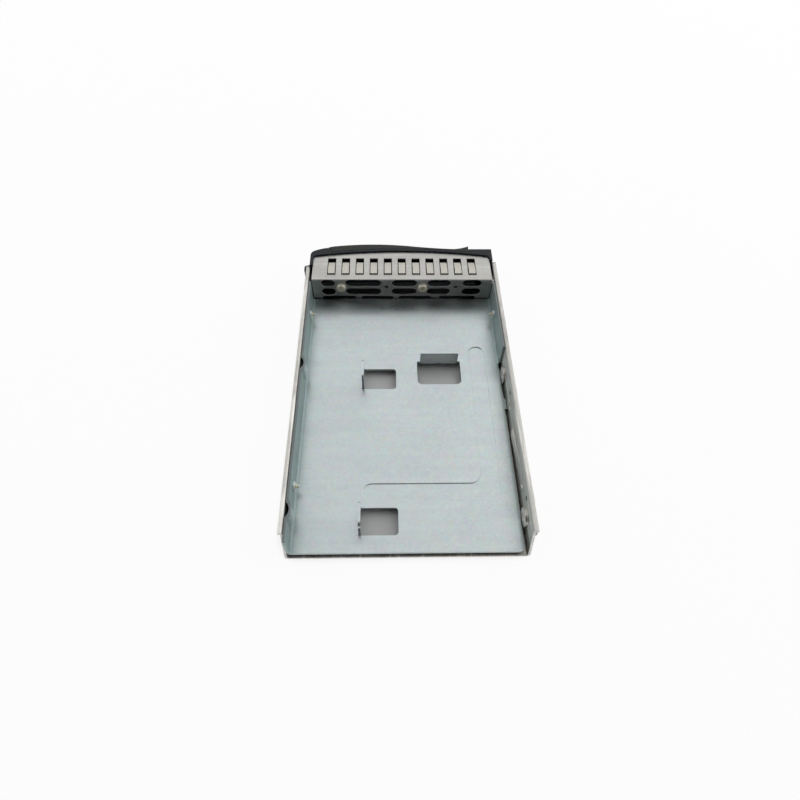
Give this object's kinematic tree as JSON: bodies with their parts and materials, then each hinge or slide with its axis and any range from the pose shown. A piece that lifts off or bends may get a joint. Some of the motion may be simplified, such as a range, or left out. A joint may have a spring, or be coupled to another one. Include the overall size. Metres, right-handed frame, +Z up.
{
  "type": "hot swap drive caddy",
  "caption": "Sheet-steel drive tray with an adapter plate for a smaller drive, a slotted front shield and a black bezel with swing-out lever and release latch.",
  "frame": {"origin": "underside of the tray, on the centre line, at the drive's connector plane", "axes": "+Z up out of the tray, +Y towards the backplane, -Y towards the bezel, +X towards the lever's hinge side"},
  "size_m": [0.1092, 0.1793, 0.019],
  "materials": {
    "zinc_tray": "satin zinc plate",
    "zinc_plate": "bright zinc plate",
    "zinc_shield": "satin zinc plate",
    "spring_steel": "bright",
    "pin_steel": "bright",
    "screw_steel": "zinc plate",
    "black_plastic": "fine texture",
    "lever_plastic": "fine texture",
    "latch_plastic": "smooth",
    "clip_plastic": "smooth",
    "clear_plastic": "clear"
  },
  "bodies": {
    "tray": {"outer_tray": "zinc_tray", "adapter_plate": "zinc_plate", "front_shield": "zinc_shield", "contact_strip": "spring_steel", "bezel_frame": "black_plastic", "lever_pivot_pin": "pin_steel", "lever_washer": "spring_steel", "pivot_clip": "spring_steel", "latch_cover": "zinc_plate", "latch_cover_screw": "screw_steel", "light_pipe_status": "clear_plastic", "light_pipe_activity": "clear_plastic", "pipe_clips": "clip_plastic", "shield_screws": "screw_steel", "adapter_screws": "screw_steel", "clinch_nuts": "screw_steel", "bezel_screws": "screw_steel"},
    "lever": {"handle_lever": "lever_plastic"},
    "latch": {"release_latch": "latch_plastic", "latch_spring": "spring_steel"}
  },
  "joints": [
    {"name": "lever_swing", "type": "hinge", "parent": "tray", "child": "lever", "pos_m": [0.0458, -0.1662, 0.009], "axis": [0, 0, 1], "range_deg": [0, 50]},
    {"name": "latch_slide", "type": "slide", "parent": "tray", "child": "latch", "axis": [-1, 0, 0], "range_m": [0, 0.0016], "stiffness_N_per_m": 400, "springref_m": -0.002, "deforming": ["latch_spring"]}
  ]
}
